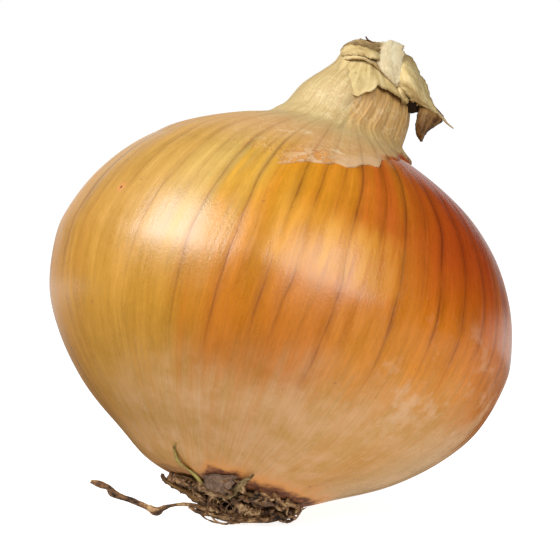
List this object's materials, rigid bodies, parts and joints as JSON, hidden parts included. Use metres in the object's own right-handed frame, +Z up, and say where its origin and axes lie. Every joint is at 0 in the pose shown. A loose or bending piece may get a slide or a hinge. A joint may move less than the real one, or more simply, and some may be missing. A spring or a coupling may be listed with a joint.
{
  "type": "onion",
  "caption": "Cured yellow onion with a papery skin, a dried neck with torn leaf ends and a pressed root tuft that it stands on.",
  "frame": {"origin": "on the ground under the middle of the object's box", "axes": "+Z up, the onion standing as it rests and leaning a little; -Y is the side the viewer sees, with the neck to +X"},
  "size_m": [0.078, 0.0792, 0.0818],
  "materials": {
    "bulb": "glossy dry golden to orange skin with brown veins",
    "neck_sheath": "satin tan papery skin",
    "torn_collar": "satin tan papery skin",
    "dry_leaves": "matte cream to tan dry leaf",
    "roots": "matte dark brown dry roots"
  },
  "bodies": {
    "root": {"bulb": "bulb", "neck_sheath": "neck_sheath", "torn_collar": "torn_collar", "dry_leaves": "dry_leaves", "roots": "roots"}
  },
  "joints": []
}
